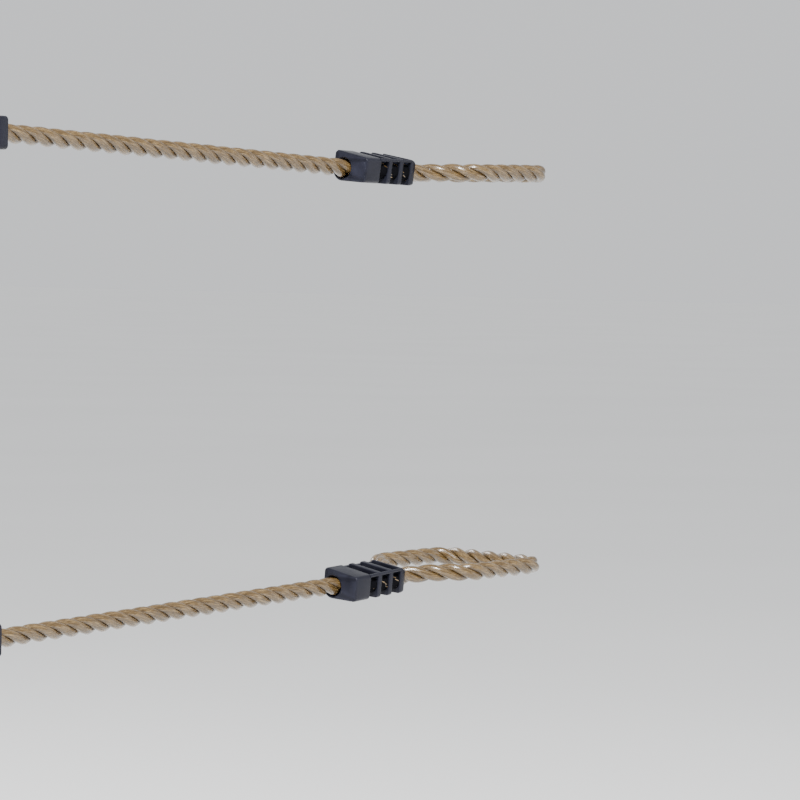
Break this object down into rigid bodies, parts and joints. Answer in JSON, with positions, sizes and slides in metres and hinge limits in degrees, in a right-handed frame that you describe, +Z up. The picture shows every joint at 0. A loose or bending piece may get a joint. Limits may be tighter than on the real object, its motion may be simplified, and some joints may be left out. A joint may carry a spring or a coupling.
{
  "type": "cargo climbing net",
  "caption": "Square-mesh climbing net of laid rope with moulded crossings, whose row ends loop round two square posts.",
  "frame": {"origin": "on the axis of the right-hand post, at the middle of the top row's loop", "axes": "+X along the rows from the left-hand post to the right-hand one, +Z up, -Y towards the climber"},
  "size_m": [1.804, 0.094, 0.934],
  "materials": {
    "rope": "three-strand laid polypropylene rope, tan with a glossy fibre",
    "clamp_plastic": "black moulded plastic, satin",
    "block_plastic": "black moulded plastic, satin"
  },
  "bodies": {
    "anchors": {"left_clamp_bottom": "clamp_plastic", "left_clamp_lower": "clamp_plastic", "left_clamp_top": "clamp_plastic", "left_clamp_upper": "clamp_plastic", "left_loop_bottom": "rope", "left_loop_lower": "rope", "left_loop_top": "rope", "left_loop_upper": "rope", "right_clamp_bottom": "clamp_plastic", "right_clamp_lower": "clamp_plastic", "right_clamp_top": "clamp_plastic", "right_clamp_upper": "clamp_plastic", "right_loop_bottom": "rope", "right_loop_lower": "rope", "right_loop_top": "rope", "right_loop_upper": "rope"},
    "right_legs": {"right_leg_rope_bottom": "rope", "right_leg_rope_lower": "rope", "right_leg_rope_top": "rope", "right_leg_rope_upper": "rope"},
    "bay_1": {"row_rope_top_1": "rope", "row_rope_upper_1": "rope", "row_rope_lower_1": "rope", "row_rope_bottom_1": "rope", "cross_block_top_1": "block_plastic", "cross_block_upper_1": "block_plastic", "cross_block_lower_1": "block_plastic", "cross_block_bottom_1": "block_plastic", "column_rope_1": "rope"},
    "middle": {"row_rope_top_2": "rope", "row_rope_upper_2": "rope", "row_rope_lower_2": "rope", "row_rope_bottom_2": "rope", "cross_block_top_2": "block_plastic", "cross_block_top_3": "block_plastic", "cross_block_upper_2": "block_plastic", "cross_block_upper_3": "block_plastic", "cross_block_lower_2": "block_plastic", "cross_block_lower_3": "block_plastic", "cross_block_bottom_2": "block_plastic", "cross_block_bottom_3": "block_plastic", "column_rope_2": "rope", "column_rope_3": "rope"},
    "bay_3": {"row_rope_top_3": "rope", "row_rope_upper_3": "rope", "row_rope_lower_3": "rope", "row_rope_bottom_3": "rope", "cross_block_top_4": "block_plastic", "cross_block_upper_4": "block_plastic", "cross_block_lower_4": "block_plastic", "cross_block_bottom_4": "block_plastic", "column_rope_4": "rope"},
    "left_legs": {"left_leg_rope_bottom": "rope", "left_leg_rope_lower": "rope", "left_leg_rope_top": "rope", "left_leg_rope_upper": "rope"},
    "left_tails": {"left_rope_tails": "rope"}
  },
  "joints": [
    {"name": "right_leg_swing", "type": "hinge", "parent": "anchors", "child": "right_legs", "pos_m": [-0.1363, 0, -0.4005], "axis": [0, 0, 1], "range_deg": [-10, 10], "stiffness_Nm_per_rad": 600},
    {"name": "bay_1_swing", "type": "hinge", "parent": "right_legs", "child": "bay_1", "pos_m": [-0.4437, 0, -0.4005], "axis": [0, 0, 1], "range_deg": [-5, 5]},
    {"name": "middle_swing", "type": "hinge", "parent": "bay_1", "child": "middle", "pos_m": [-0.6937, 0, -0.4005], "axis": [0, 0, 1], "range_deg": [-5, 5]},
    {"name": "bay_3_swing", "type": "hinge", "parent": "middle", "child": "bay_3", "pos_m": [-1.0163, 0, -0.4005], "axis": [0, 0, 1], "range_deg": [-5, 5]},
    {"name": "left_leg_swing", "type": "hinge", "parent": "bay_3", "child": "left_legs", "pos_m": [-1.2663, 0, -0.4005], "axis": [0, 0, 1], "range_deg": [-5, 5]},
    {"name": "left_tail_swing", "type": "hinge", "parent": "left_legs", "child": "left_tails", "pos_m": [-1.5737, 0, -0.4005], "axis": [0, 0, 1], "range_deg": [-10, 10]}
  ],
  "couplings": [
    {"joint": "bay_1_swing", "follows": "right_leg_swing", "ratio": -0.5},
    {"joint": "middle_swing", "follows": "right_leg_swing", "ratio": -0.5},
    {"joint": "bay_3_swing", "follows": "right_leg_swing", "ratio": -0.5},
    {"joint": "left_leg_swing", "follows": "right_leg_swing", "ratio": -0.5},
    {"joint": "left_tail_swing", "follows": "right_leg_swing", "ratio": 1}
  ]
}
